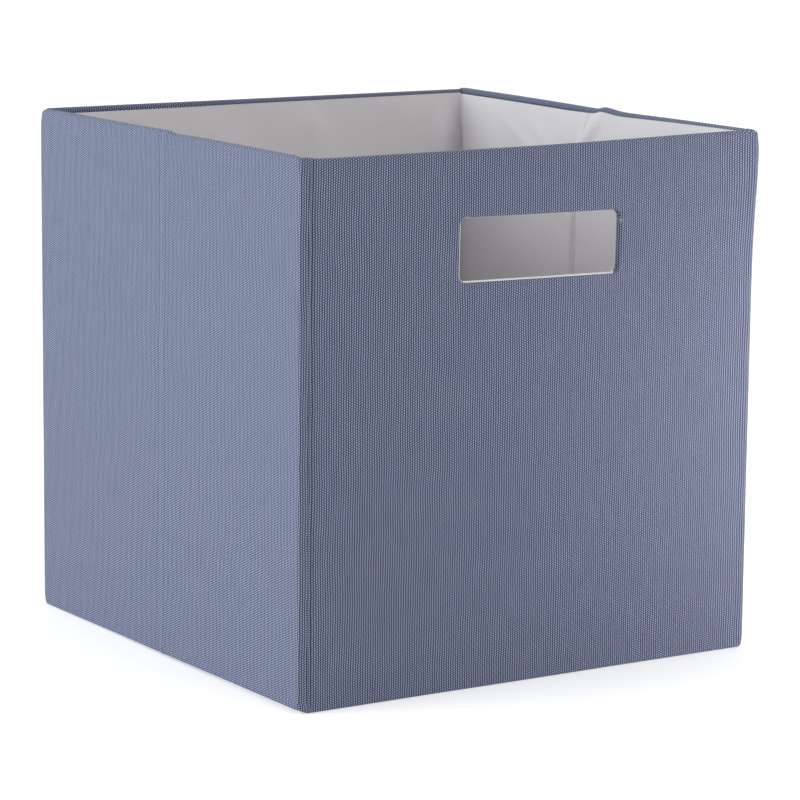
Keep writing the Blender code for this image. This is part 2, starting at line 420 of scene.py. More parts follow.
def sharpen_border(mesh):
    """Marks the cut edges of a sheet sharp, so that its faces stay evenly lit up to them."""
    sheet = bmesh.new()
    sheet.from_mesh(mesh)
    for rim in sheet.edges:
        if rim.is_boundary:
            rim.smooth = False
    sheet.to_mesh(mesh)
    sheet.free()


def smooth_object(name, points, faces, material):
    """An object of one material from its points and faces."""
    mesh = bpy.data.meshes.new(name)
    mesh.from_pydata([tuple(p) for p in points], [], faces)
    mesh.materials.append(material)
    mesh.shade_smooth()
    made = bpy.data.objects.new(name, mesh)
    bpy.context.scene.collection.objects.link(made)
    return made


def make_piece(name, points, faces, cloth, material, thickness):
    """A cloth piece from its points and faces, with cloth coordinates. It thickens inwards."""
    piece = smooth_object(name, points, faces, material)
    mesh = piece.data
    layer = mesh.uv_layers.new(name="cloth")
    corners = np.zeros(len(mesh.loops), np.int32)
    mesh.loops.foreach_get("vertex_index", corners)
    layer.data.foreach_set("uv", np.asarray(cloth, np.float32)[corners].ravel())
    sharpen_border(mesh)
    thick = piece.modifiers.new("thickness", "SOLIDIFY")
    thick.thickness = thickness
    thick.offset = -1.0
    thick.use_even_offset = False
    return piece


def weave_group():
    """A two-tone weave on cloth coordinates in metres: pale dots staggered in columns."""
    tree = bpy.data.node_groups.new("dotted_weave", "ShaderNodeTree")
    face = tree.interface
    face.new_socket("Cloth", in_out="INPUT", socket_type="NodeSocketVector")
    for name in ("Column", "Dot", "Slant", "Wander"):
        face.new_socket(name, in_out="INPUT", socket_type="NodeSocketFloat")
    for name in ("Threads", "Height", "Yarn"):
        face.new_socket(name, in_out="OUTPUT", socket_type="NodeSocketFloat")
    given = tree.nodes.new("NodeGroupInput")
    result = tree.nodes.new("NodeGroupOutput")
    wander = noise(tree, given.outputs["Cloth"], noise_dimensions="2D", Scale=26.0, Detail=2.0)
    split = tree.nodes.new("ShaderNodeSeparateXYZ")
    tree.links.new(given.outputs["Cloth"], split.inputs[0])

    def calc(*values):
        return math_node(tree, *values)

    drift = calc("SUBTRACT", wander, 0.5)
    drift = calc("MULTIPLY", drift, given.outputs["Wander"])
    u = calc("ADD", split.outputs["X"], drift)
    u = calc("DIVIDE", u, given.outputs["Column"])
    v = calc("DIVIDE", split.outputs["Y"], given.outputs["Dot"])
    double = calc("MULTIPLY", v, 2.0)
    rising = calc("MULTIPLY", calc("SUBTRACT", u, double), math.pi)
    falling = calc("MULTIPLY", calc("ADD", u, double), math.pi)
    rising = calc("COSINE", rising)
    falling = calc("COSINE", falling)
    more = calc("ADD", given.outputs["Slant"], 0.5)
    less = calc("SUBTRACT", 0.5, given.outputs["Slant"])
    lattice = calc("MULTIPLY", rising, more)
    lattice = calc("MULTIPLY_ADD", falling, less, lattice)
    dots = calc("MULTIPLY_ADD", lattice, 0.5, 0.5)
    column = calc("COSINE", calc("MULTIPLY", u, 2 * math.pi))
    column = calc("MULTIPLY_ADD", column, 0.5, 0.5)
    both = calc("MULTIPLY_ADD", dots, 0.55, calc("MULTIPLY", column, 0.45))
    tree.links.new(both, result.inputs["Height"])
    range_used = {"interpolation_type": "SMOOTHSTEP", "From_Min": 0.28, "From_Max": 0.92}
    sharp = add_node(tree, "ShaderNodeMapRange", **range_used)
    tree.links.new(both, sharp.inputs["Value"])
    tree.links.new(sharp.outputs["Result"], result.inputs["Threads"])
    place = tree.nodes.new("ShaderNodeCombineXYZ")
    tree.links.new(calc("MULTIPLY", u, 0.8), place.inputs["X"])
    tree.links.new(calc("MULTIPLY", v, 0.07), place.inputs["Y"])
    yarn = noise(tree, place.outputs["Vector"], noise_dimensions="2D", Scale=1.0, Detail=1.0)
    tree.links.new(yarn, result.inputs["Yarn"])
    return tree


dotted_weave = weave_group()


def outer_cloth_material():
    """Dark blue ground, pale blue dots, some yarns paler than others."""
    mat, tree, shader = new_material("outer_cloth", 0.85, Sheen_Weight=0.08, Sheen_Roughness=0.5)
    cloth = add_node(tree, "ShaderNodeUVMap", uv_map="cloth")
    sizes = {"Column": 0.00165, "Dot": 0.00148, "Slant": 0.16, "Wander": 0.0022}
    weave = add_node(tree, "ShaderNodeGroup", node_tree=dotted_weave, **sizes)
    tree.links.new(cloth.outputs["UV"], weave.inputs["Cloth"])
    ground = mix_colours(tree, weave.outputs["Yarn"], (0.013, 0.019, 0.049), (0.023, 0.030, 0.066))
    dots = mix_colours(tree, weave.outputs["Yarn"], (0.262, 0.297, 0.420), (0.336, 0.370, 0.500))
    colour = mix_colours(tree, weave.outputs["Threads"], ground, dots)
    tree.links.new(colour, shader.inputs["Base Color"])
    bump(tree, shader, weave.outputs["Height"], 0.6, 0.00035)
    return mat


outer_cloth = outer_cloth_material()


def wall_piece(name, first, last):
    points, cloth = wall_grid(first, last)
    rows, columns = points.shape[:2]
    faces = grid_faces(rows, columns)
    piece = make_piece(name, points.reshape(-1, 3), faces, cloth.reshape(-1, 2), outer_cloth, CLOTH)
    return piece


def cut_size(first, last):
    """Width and length that a piece of the outer cloth is cut to."""
    width = length_line[last % (len(length_line) - 1)] - length_line[first]
    if width <= 0:
        width += length_line[-1]
    return float(width), HEIGHT - FOOT + RIM_RISE + WALL / 2 + LIP


# ------------ side covers, creased
# The cloth of each side wall, from the end strip at one corner to the other. It is pressed
# into a crease at mid depth, where the two half boards meet.

whole_round = len(length_line) - 1
left_run = (marks["rear_left"]["strip"], whole_round + marks["front_left"]["strip"])
right_run = (marks["front_right"]["middle"], marks["rear_right"]["strip"])
for side, run, sign in (("left", left_run, -1), ("right", right_run, 1)):
    cover = wall_piece(f"{side}_cover", *run)
    wide, tall = cut_size(*run)
    x = sign * HALF_WIDTH
    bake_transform(cover)
    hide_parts(f"{side}_rear_cover", f"{side}_front_cover")


# ------------ back cover
# The plain cloth of the back wall, of the same weave, drawn over its board and the rim. It
# meets the corner strips just past each channel.

SEAM_COLUMNS = 2  # the corner strips run on this many grid lines past the channel
back_run = (marks["rear_right"]["flat"] + SEAM_COLUMNS, marks["rear_left"]["flat"] - SEAM_COLUMNS)
back_cover = wall_piece("back_wall_cover", *back_run)
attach(back_cover, "back_wall")
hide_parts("back_cover")
cut_size(*back_run)


# ------------ corner channels
# Narrow strips of the same cloth that join the walls round the corners. They sink in beside
# the board ends. The front right corner is left open there.

for name, pair in (
    ("front_left", ("left_front_wall", "front_wall")),
    ("rear_right", ("right_rear_wall", "back_wall")),
    ("rear_left", ("left_rear_wall", "back_wall")),
):
    run = sorted((marks[name]["strip"], marks[name]["flat"]))
    run = (run[0] - SEAM_COLUMNS, run[1]) if name == "rear_left" else (run[0], run[1] + SEAM_COLUMNS)
    channel = wall_piece(f"{name}_channel", *run)
    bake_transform(channel)
    cut_size(*run)


# ------------ front cover
# The cloth of the front wall, cut out at the hand hole and turned in round its edge, which
# draws it into small puckers at the corners of the hole.

HOLE_WIDTH = 0.1170
HOLE_HEIGHT = 0.0395
HOLE_TOP = HEIGHT - 0.0420
HOLE_MIDDLE = np.array([0.0039, HOLE_TOP - HOLE_HEIGHT / 2])
HOLE_CORNER = 0.0050
HOLE_TURN = math.radians(-1.0)  # the hole was cut a little askew
HOLE_ROLL = 0.0012
HOLE_FRAME = 0.017  # the ring of cloth round the hole reaches this far out
RING_SHARES = (0.0, 0.04, 0.09, 0.16, 0.26, 0.40, 0.58, 0.78)
PUCKER = 0.00042
PUCKER_SIZES = ((1, 1, 1.0), (1, -1, 0.9), (-1, 1, 0.45), (-1, -1, 0.45))  # at each corner
PUCKER_REACH = 0.0085  # a pucker has died down to a third this far from its corner
PUCKER_TURNS = 5.5  # how closely the puckers lie round a corner


def rounded_outline(boundary, width, height, radius, middle, turn):
    """For each point of a surrounding rectangle, its point on a rounded one inside it, and
    the direction from there to the inside.
    """
    low, high = boundary.min(0), boundary.max(0)
    scale = np.array([width, height]) / (high - low)
    half_x, half_z = width / 2, height / 2
    reach = np.array([half_x, half_z]) - radius
    found, inwards = [], []
    for point in boundary:
        x, z = (point - (low + high) / 2) * scale
        core = np.clip([x, z], -reach, reach)
        away = np.array([x, z]) - core
        if min(abs(away)) > 1e-9:
            away = away / np.linalg.norm(away)
            place = core + away * radius
        else:
            place = np.array([x, z])
            at_end = half_x - abs(x) < TINY
            away = np.array([np.sign(x), 0]) if at_end else np.array([0, np.sign(z)])
        found.append(place)
        inwards.append(-away)
    spin = np.array([[math.cos(turn), math.sin(turn)], [-math.sin(turn), math.cos(turn)]])
    return np.array(found) @ spin + np.array(middle), np.array(inwards) @ spin


def block_boundary(columns, skip):
    """The grid's points round a skipped block, anticlockwise seen from the front."""
    c0, c1, r0, r1 = skip
    around = [(r0, c) for c in range(c0, c1)]
    around += [(r, c1) for r in range(r0, r1)]
    around += [(r1, c) for c in range(c1, c0, -1)]
    around += [(r, c0) for r in range(r1, r0, -1)]
    return [r * columns + c for r, c in around]


def add_rings(points, cloth, faces, edge, rings, ring_cloth, outwards=False):
    """Joins rings of new points to a block's edge, or to a sheet's edge going outwards."""
    before = list(edge)
    count = len(edge)
    for ring, flat in zip(rings, ring_cloth):
        start = len(points)
        points.extend(ring)
        cloth.extend(flat)
        now = list(range(start, start + count))
        for i in range(count):
            j = (i + 1) % count
            inwards_quad = (before[i], before[j], now[j], now[i])
            faces.append((before[j], before[i], now[i], now[j]) if outwards else inwards_quad)
        before = now


def puckers(x, z):
    """Small folds that run out from the hole's corners."""
    total = np.zeros(np.shape(x))
    for corner_x, corner_z, size in PUCKER_SIZES:
        dx = (x - HOLE_MIDDLE[0] - corner_x * (HOLE_WIDTH / 2 - 0.001)) * corner_x
        dz = (z - HOLE_MIDDLE[1] - corner_z * (HOLE_HEIGHT / 2 - 0.001)) * corner_z
        reach = np.hypot(dx, dz)
        angle = np.arctan2(dz, dx)
        fold = np.cos(PUCKER_TURNS * (angle - 0.75)) * np.exp(-reach / PUCKER_REACH)
        rise = np.clip(reach / 0.0025, 0, 1)
        total = total + size * fold * rise * (angle > -0.9) * (angle < 2.5)
    return PUCKER * total


front_run = (marks["front_left"]["flat"] + SEAM_COLUMNS, marks["front_right"]["middle"])
points, cloth = wall_grid(*front_run)
rows, columns = points.shape[:2]
xs, zs = points[0, :, 0], points[:ROWS, columns // 2, 2]
frame_low = HOLE_MIDDLE - np.array([HOLE_WIDTH, HOLE_HEIGHT]) / 2 - HOLE_FRAME
frame_high = HOLE_MIDDLE + np.array([HOLE_WIDTH, HOLE_HEIGHT]) / 2 + HOLE_FRAME


def hole_block(xs, zs):
    """The columns and rows of a grid that the ring of cloth round the hole takes up."""
    lines = [*np.searchsorted(xs, [frame_low[0], frame_high[0]])]
    lines += [*np.searchsorted(zs, [frame_low[1], frame_high[1]])]
    return tuple(int(line) for line in lines)


block = hole_block(xs, zs)
points[:ROWS, :, 1] -= puckers(points[:ROWS, :, 0], points[:ROWS, :, 2])
edge = block_boundary(columns, block)
faces = grid_faces(rows, columns, block)
points, cloth = list(points.reshape(-1, 3)), list(cloth.reshape(-1, 2))
border = np.array([points[i] for i in edge])[:, [0, 2]]
border_cloth = np.array([cloth[i] for i in edge])
hole_form = (HOLE_WIDTH, HOLE_HEIGHT, HOLE_CORNER, HOLE_MIDDLE, HOLE_TURN)
on_edge, inwards = rounded_outline(border, *hole_form)
to_cloth = border_cloth[0] - border[0]
rings, ring_cloth = [], []
start = on_edge - inwards * HOLE_ROLL
for share in reversed(RING_SHARES):
    flat = start + (border - start) * share
    out = np.tile([0.0, -1.0], (len(flat), 1))
    shift = cloth_shift(flat[:, 0], np.full(len(flat), -HALF_DEPTH), flat[:, 1], out)
    y = -HALF_DEPTH + shift[:, 1] - puckers(flat[:, 0], flat[:, 1])
    rings.append(np.column_stack([flat[:, 0] + shift[:, 0], y, flat[:, 1]]))
    ring_cloth.append(flat + to_cloth)
lip_y = y
for turn in np.linspace(0, math.pi / 2, 6)[1:]:
    flat = start + inwards * HOLE_ROLL * math.sin(turn)
    depth = lip_y + HOLE_ROLL * (1 - math.cos(turn))
    rings.append(np.column_stack([flat[:, 0], depth, flat[:, 1]]))
    ring_cloth.append(start + inwards * HOLE_ROLL * turn + to_cloth)
through = WALL - HOLE_ROLL - 0.0004
for share in (0.33, 0.66, 1.0):
    depth = -HALF_DEPTH + HOLE_ROLL + through * share
    rings.append(np.column_stack([on_edge[:, 0], np.full(len(on_edge), depth), on_edge[:, 1]]))
    ring_cloth.append(start + inwards * (HOLE_ROLL * math.pi / 2 + through * share) + to_cloth)
add_rings(points, cloth, faces, edge, rings, ring_cloth)
front_cover = make_piece("front_wall_cover", points, faces, cloth, outer_cloth, CLOTH)
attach(front_cover, "front_wall")
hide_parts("front_cover")
wide, tall = cut_size(*front_run)


# ------------ lining
# A thin white cloth inside every wall, caught under the turned-in edge of the cover. It is
# cut with a little slack, so it lies in soft folds.

LINING = 0.0006
LINING_CORNER = 0.0030
LINING_ROWS = 96
LINING_STEP = 0.0026
LINING_FOOT = FOOT + 0.0002
LINING_SHADE = (0.53, 0.512, 0.526)
LINING_WHITE = (0.70, 0.677, 0.694)
LINING_SLACK = 0.00030
LINING_CREASES = 0.00012
RIDGE_HIGH = 0.0031  # the ridge of slack behind the right crease
RIDGE_AT_RIM = 0.28  # the share of its height that it has at the rim
VALLEY_START = 0.0008  # the valley in front of the ridge starts here at the rim
VALLEY_DRIFT = 0.0165  # and lies this much further back low down
STEP_HIGH = 0.0009  # how far the lining in front of the valley stands off
RIDGE_ZONE = (-0.020, 0.040)  # finer grid lines here, across the ridge
RIDGE_LINES = 0.0006
FOLD_SEEDS = {"front": 21, "back": 22, "left": 23, "right": 24}

# The longer soft folds of each wall: the slant of the line that a fold follows, then its place,
# width and rise, how far under the rim it starts and ends, and over what length it fades.
SOFT_FOLDS = {
    "right": (
        (0.85, 0.2690, 0.0050, 0.0024, (0.001, 0.034), 0.008),
        (-0.7, -0.155, 0.007, 0.0014, (0.006, 0.09)),
        (-1.6, -0.400, 0.008, 0.0012, (0.006, 0.05)),
        (0.2, 0.2190, 0.0040, 0.0013, (0.003, 0.09)),
    ),
    "left": (
        (0, 0.012, 0.005, 0.0015, (0.01, 0.40)),
        (0, -0.013, 0.006, 0.0013, (0.03, 0.40)),
        (0.8, 0.180, 0.007, 0.0012, (0.01, 0.12)),
    ),
    "back": (
        (0, 0.1445, 0.0080, 0.0040, (0.004, 0.36), 0.03),
        (-0.25, -0.160, 0.010, 0.0010, (0.005, 0.20)),
        (0.35, 0.150, 0.009, 0.0011, (0.004, 0.16)),
        (0.15, 0.020, 0.012, 0.0009, (0.01, 0.25)),
    ),
    "front": (
        (0.6, 0.060, 0.008, 0.0010, (0.09, 0.24)),
        (-0.5, -0.040, 0.008, 0.0009, (0.09, 0.26)),
    ),
}


def fold_line(across, along, place, width, rise, reach=(-1.0, 1.0), fade=0.02):
    """One soft fold: a ridge across its line, fading out at both ends of its reach."""
    ends = np.clip((along - reach[0]) / fade, 0, 1) * np.clip((reach[1] - along) / fade, 0, 1)
    return rise * np.exp(-(((across - place) / width) ** 2)) * ends * ends * (3 - 2 * ends)


def crease_fold(s, depth):
    """The slack of the right wall's lining, lying in a ridge behind the crease.

    The ridge drops steeply to a valley in front of it, and grows from the rim downwards.
    """
    valley = VALLEY_START + VALLEY_DRIFT * (1 - np.exp(-depth / 0.026))
    grown = np.clip((depth - 0.020) / 0.070, 0, 1)
    high = RIDGE_HIGH * (RIDGE_AT_RIM + (1 - RIDGE_AT_RIM) * grown)
    run = 0.0007 + 0.0030 * grown
    away = s - valley
    ridge = np.where(away > run, swell(away, run, 0.006 + 0.006 * grown), np.clip(away / run, 0, 1))
    front = np.clip(away, -1, 0)
    step = STEP_HIGH * np.exp(front / 0.008) * (1 - np.exp(front / 0.0006))
    return (high * ridge + step) * np.clip(depth / 0.003, 0, 1) * np.clip((0.30 - depth) / 0.12, 0, 1)


def lining_folds(wall, s, z):
    """How far the lining stands off its wall. s runs along the wall, x or y."""
    depth = HEIGHT - z
    seed = FOLD_SEEDS[wall]
    folds = LINING_SLACK * (1 + slow_waves(s, z, seed, 0.16))
    folds = folds + LINING_CREASES * (1 + slow_waves(s * 2.2, z * 0.35, seed + 40, 0.045))
    for slant, *fold in SOFT_FOLDS[wall]:
        folds = folds + fold_line(s + slant * z, depth, *fold)
    near_top = np.clip(depth / 0.020, 0, 1)
    near_foot = np.clip((z - FOOT) / 0.015, 0, 1)
    near_corner = np.clip((0.1590 - abs(s)) / 0.010, 0, 1)
    folds = folds * near_top * (2 - near_top) * near_foot * np.sqrt(near_corner)
    if wall == "right":
        folds = folds + crease_fold(s, depth) * near_foot
    return folds


def lining_grid(wall):
    """Points and cloth coordinates of one wall's lining, seen from inside the bin."""
    inner = HALF_WIDTH - WALL - LINING
    flat = inner - LINING_CORNER
    if wall in ("left", "right"):
        half = flat_steps(0, flat, crease_at_start=True)
        places = [*-half, *half]
        if wall == "right":
            places += [*np.arange(*RIDGE_ZONE, RIDGE_LINES)]
        places = sorted({round(float(v), 6) for v in places})
        places = [v for i, v in enumerate(places) if i == 0 or v - places[i - 1] > CREASE_STEP / 2]
    else:
        places = list(np.linspace(-flat, flat, round(2 * flat / LINING_STEP)))
    turns = np.linspace(0, math.pi / 4, 6)[1:]
    arc = [(flat + LINING_CORNER * math.sin(t), LINING_CORNER * (1 - math.cos(t))) for t in turns]
    run = [(-s, d) for s, d in reversed(arc)] + [(s, 0.0) for s in places] + arc
    run = np.array(run)
    s, rise = run[:, 0], run[:, 1]
    if wall in ("left", "right"):
        sign = -1 if wall == "left" else 1
        outer = np.column_stack([np.full(len(s), sign * HALF_WIDTH), s])
    else:
        sign = -1 if wall == "front" else 1
        outer = np.column_stack([s, np.full(len(s), sign * HALF_DEPTH)])
    top = HEIGHT - RIM_RISE + rim_change(outer[:, 0], outer[:, 1]) - 0.0010
    if wall == "right":
        top = top + 0.0020 * np.clip(-s / 0.150, 0, 1) - 0.0008 * np.clip(s / 0.030, 0, 1)
    if wall == "back":
        top = top + 0.0008 * (s / HALF_WIDTH + 0.3)
    points, cloth = [], []
    for share in np.linspace(0, 1, LINING_ROWS):
        z = LINING_FOOT + share * (top - LINING_FOOT)
        off = inner - rise - lining_folds(wall, s, z) + 0.0002 * (share == 1.0)
        flat_xy = [sign * off, s] if wall in ("left", "right") else [s, sign * off]
        points.append(np.column_stack([*flat_xy, z]))
        cloth.append(np.column_stack([s, z]))
    points, cloth = np.array(points), np.array(cloth)
    if wall in ("front", "right"):
        return points, cloth
    return points[:, ::-1], cloth[:, ::-1]


def lining_material():
    """Thin plain white cloth with a fine thread and a few uneven patches."""
    mat, tree, shader = new_material("lining_cloth", 0.62, Sheen_Weight=0.05)
    cloth = add_node(tree, "ShaderNodeUVMap", uv_map="cloth")
    patches = noise(tree, cloth.outputs["UV"], noise_dimensions="2D", Scale=18.0, Detail=3.0)
    threads = []
    for scale in ((2600, 300, 1), (300, 2600, 1)):
        one_way = stretch(tree, cloth.outputs["UV"], scale)
        threads.append(noise(tree, one_way, noise_dimensions="2D", Scale=1.0, Detail=1.0))
    weave = math_node(tree, "MULTIPLY", math_node(tree, "ADD", *threads), 0.5)
    patchy = math_node(tree, "MULTIPLY", patches, 0.4)
    tint = math_node(tree, "MULTIPLY_ADD", weave, 0.6, patchy)
    colour = mix_colours(tree, tint, LINING_SHADE, LINING_WHITE)
    tree.links.new(colour, shader.inputs["Base Color"])
    bump(tree, shader, weave, 0.25, 0.00012)
    return mat


lining_cloth = lining_material()


def lining_piece(wall, faces, points, cloth):
    piece = make_piece(f"{wall}_wall_lining", points, faces, cloth, lining_cloth, LINING * 0.8)
    return piece


for wall in ("left", "right", "back"):
    points, cloth = lining_grid(wall)
    rows, columns = points.shape[:2]
    faces = grid_faces(rows, columns)
    lining = lining_piece(wall, faces, points.reshape(-1, 3), cloth.reshape(-1, 2))
    if wall == "back":
        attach(lining, "back_wall")
        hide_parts("back_lining")
    else:
        x = HALF_WIDTH * (-1 if wall == "left" else 1)
        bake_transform(lining)
        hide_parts(f"{wall}_rear_lining", f"{wall}_front_lining")

points, cloth = lining_grid("front")
rows, columns = points.shape[:2]
block = hole_block(points[0, :, 0], points[:, columns // 2, 2])
edge = block_boundary(columns, block)
faces = grid_faces(rows, columns, block)
points, cloth = list(points.reshape(-1, 3)), list(cloth.reshape(-1, 2))
border = np.array([points[i] for i in edge])
on_edge, inwards = rounded_outline(border[:, [0, 2]], *hole_form)
start = on_edge - inwards * HOLE_ROLL
rings, ring_cloth = [], []
face_y = -(HALF_DEPTH - WALL - LINING)
for share in reversed(RING_SHARES):
    flat = start + (border[:, [0, 2]] - start) * share
    off = face_y + (border[:, 1] - face_y) * share
    rings.append(np.column_stack([flat[:, 0], off, flat[:, 1]]))
    ring_cloth.append(flat)
for turn in np.linspace(0, math.pi / 2, 5)[1:]:
    flat = start + inwards * (HOLE_ROLL + 0.0005) * math.sin(turn)
    off = np.full(len(flat), face_y - HOLE_ROLL * (1 - math.cos(turn)))
    rings.append(np.column_stack([flat[:, 0], off, flat[:, 1]]))
    ring_cloth.append(flat)
# the lining is drawn out through the hole, almost to the front along its bottom and left
DRAWN_OUT = 0.0040
turned = 0.0002 + DRAWN_OUT * np.clip(inwards[:, 1], 0, 1) ** 6
turned = np.minimum(turned + 0.0036 * np.clip(inwards[:, 0], 0, 1), DRAWN_OUT)
for share in (0.35, 0.7, 1.0):
    flat = on_edge + inwards * 0.0005
    off = face_y - HOLE_ROLL - turned * share
    rings.append(np.column_stack([flat[:, 0], off, flat[:, 1]]))
    ring_cloth.append(flat + inwards * turned[:, None] * share)
add_rings(points, cloth, faces, edge, rings, ring_cloth)
faces = [face[::-1] for face in faces]
front_lining = lining_piece("front", faces, points, cloth)
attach(front_lining, "front_wall")
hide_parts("front_lining")


# ------------ rim stitches
# One row of dark blue lockstitch round the inside of the rim holds the turned-in cover and
# the lining's top edge together.

STITCH = 0.0026
STITCH_PITCH = 0.0032
STITCH_FORM = ((0, 0.0005), (0.12, 0), (0.5, -0.0001), (0.88, 0), (1, 0.0005))  # along, sunk in
THREAD = 0.00022  # radius of the sewing thread
STITCH_DROP = 0.0013  # the seam runs this far under the start of the rim's roll


def add_tube(points, faces, path, radius, sides=6):
    """A thread along a path, closed at both ends."""
    path = np.array(path)
    start = len(points)
    tangents = np.gradient(path, axis=0)
    for place, tangent in zip(path, tangents):
        tangent = tangent / np.linalg.norm(tangent)
        guide = (0, 0, 1) if abs(tangent[2]) < 0.8 else (0, 1, 0)
        first = np.cross(tangent, guide)
        first = first / np.linalg.norm(first)
        second = np.cross(tangent, first)
        for side in range(sides):
            angle = 2 * math.pi * side / sides
            points.append(place + radius * (first * math.cos(angle) + second * math.sin(angle)))
    for ring in range(len(path) - 1):
        for side in range(sides):
            a, b = start + ring * sides + side, start + ring * sides + (side + 1) % sides
            faces.append((a, a + sides, b + sides, b))
    faces.append(tuple(range(start, start + sides)))
    last = start + (len(path) - 1) * sides
    faces.append(tuple(range(last + sides - 1, last - 1, -1)))


def thread_material(name, colour):
    """Twisted sewing thread."""
    mat, tree, shader = new_material(name, 0.55)
    place = add_node(tree, "ShaderNodeTexCoord")
    twist = noise(tree, place.outputs["Object"], Scale=1800.0, Detail=1.0)
    dark = tuple(0.55 * part for part in colour)
    tree.links.new(mix_colours(tree, twist, dark, colour), shader.inputs["Base Color"])
    bump(tree, shader, twist, 0.5, 0.0001)
    return mat


def thread_piece(name, points, faces, material, body):
    piece = smooth_object(name, points, faces, material)
    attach(piece, body)


seam_thread = thread_material("seam_thread", (0.05, 0.07, 0.15))
seams = (
    ("front", "front", -0.152, 0.152),
    ("back", "back", -0.152, 0.152),
    ("left_front", "left", -0.155, -0.005),
    ("left_rear", "left", 0.005, 0.155),
    ("right_front", "right", -0.155, -0.005),
    ("right_rear", "right", 0.005, 0.155),
)
for body, wall, start, end in seams:
    points, faces = [], []
    inner = HALF_WIDTH - WALL - LINING - THREAD * 0.6
    for first in np.arange(start, end - STITCH, STITCH_PITCH):
        path = []
        for share, sink in STITCH_FORM:
            s = first + share * STITCH
            sign = -1 if wall in ("front", "left") else 1
            crosswise = wall in ("front", "back")
            x, y = (s, sign * HALF_DEPTH) if crosswise else (sign * HALF_WIDTH, s)
            z = HEIGHT - RIM_RISE + float(rim_change(np.array(x), np.array(y))) - STITCH_DROP
            off = sign * (inner + sink)
            path.append((s, off, z) if crosswise else (off, s, z))
        add_tube(points, faces, path, THREAD)
    thread_piece(f"{body}_rim_stitches", points, faces, seam_thread, f"{body}_wall")


# ------------ loose thread ends
# Ends of pale sewing thread, left untrimmed at the right-hand end of the hand hole, where the
# edge of the cover is sewn down.

pale_thread = thread_material("pale_thread", (0.62, 0.60, 0.60))
end_x = HOLE_MIDDLE[0] + HOLE_WIDTH / 2
END_DROP = 0.0076
end_z = HOLE_TOP - END_DROP
crossing = ((-0.0004, 0.0034, 0.0003), (-0.0006, -0.0004, 0.0004), (0.0006, -0.0010, 0.0001))
crossing += ((0.0017, -0.0009, 0),)
standing = ((-0.0007, -0.0002, 0.0020), (-0.0004, -0.0009, 0.0008), (-0.0003, -0.0011, -0.0006))
standing += ((-0.0007, -0.0003, -0.0021),)
short = ((-0.0004, 0.0020, 0), (0, -0.0008, -0.0004), (0.0008, -0.0011, -0.0010))
points, faces = [], []
for bends in (crossing, standing, short):
    path = [(end_x + dx, -HALF_DEPTH + dy, end_z + dz) for dx, dy, dz in bends]
    add_tube(points, faces, path, THREAD * 0.6)
thread_piece("hole_thread_ends", points, faces, pale_thread, "front_wall")


# ------------ bottom
# The bottom is the same outer cloth, joined to the walls round their foot. It has a sheet of
# the lining cloth laid in it.

FOOT_ROUND = 0.0018
LIP_STEPS = 4
RISE_FADE = 24  # how fast the raised foot runs out under the bottom
points, cloth, faces = [], [], []
ring_count = len(outer_line) - 1
levels = [(z, 0.0) for z in np.linspace(FOOT, FOOT_ROUND, LIP_STEPS)]
for turn in np.linspace(0, math.pi / 2, 7)[1:]:
    levels.append((FOOT_ROUND * (1 - math.sin(turn)), FOOT_ROUND * (1 - math.cos(turn))))
ring_x, ring_y = outer_line[:-1, 0], outer_line[:-1, 1]
ring_side = np.sign(ring_y)
# the channels run out to nothing on the way down to the floor
flatten = (abs(ring_x) < HALF_WIDTH - STRIP_END) * (abs(ring_x) > HALF_WIDTH - CHANNEL_END)
for z, inset in levels:
    height = np.full(ring_count, z)
    place = outer_line[:-1] + cloth_shift(ring_x, ring_y, height, outward_line[:-1])
    share = min(1, (FOOT - z) / (FOOT - FOOT_ROUND))
    place[:, 1] += flatten * (ring_side * HALF_DEPTH - ring_y) * share
    place *= 1 - inset / HALF_WIDTH
    points.extend(np.column_stack([place, height + foot_lift(ring_x, ring_y, height)]))
    cloth.extend(np.column_stack([length_line[:-1], height - inset]))
last_ring = np.array(points[-ring_count:])
for shrink in (0.96, 0.88, 0.72, 0.50, 0.25, 0.06):
    flat = last_ring * (shrink, shrink, shrink**RISE_FADE)
    points.extend(flat)
    cloth.extend(flat[:, :2])
for ring in range(len(points) // ring_count - 1):
    for i in range(ring_count):
        a, b = ring * ring_count + i, ring * ring_count + (i + 1) % ring_count
        faces.append((a, a + ring_count, b + ring_count, b))
faces.append(tuple(range(len(points) - ring_count, len(points)))[::-1])
bottom = make_piece("bottom_cover", points, faces, cloth, outer_cloth, CLOTH)
flat_uv = bottom.data.uv_layers["cloth"].data
for polygon in bottom.data.polygons:
    closes_ring = (polygon.index + 1) % ring_count == 0
    for loop in polygon.loop_indices:
        vertex = bottom.data.loops[loop].vertex_index
        if polygon.index >= (len(levels) - 1) * ring_count:
            flat_uv[loop].uv = bottom.data.vertices[vertex].co.xy
        elif closes_ring and vertex % ring_count == 0:
            flat_uv[loop].uv[0] = length_line[-1]
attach(bottom, "back_wall")
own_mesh(bottom)
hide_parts("base_cover")

low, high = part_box("base_lining")
cells = 60
xs, ys = np.linspace(low.x, high.x, cells), np.linspace(low.y, high.y, cells)
points = []
for row in (np.full(cells, y) for y in ys):
    z = high.z + 0.0001 * (1 + slow_waves(xs, row, 61, 0.10))
    points.extend(np.column_stack([xs, row, z]))
cloth = np.array(points)[:, :2]
laid = make_piece("bottom_lining", points, grid_faces(cells, cells), cloth, lining_cloth, 0.0004)
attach(laid, "back_wall")
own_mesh(laid)
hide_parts("base_lining")


# ------------ bottom board
# A loose stiff board wrapped in the lining cloth. It drops in flat to hold the bin square,
# and its cloth is folded under and glued in a band round the underside.

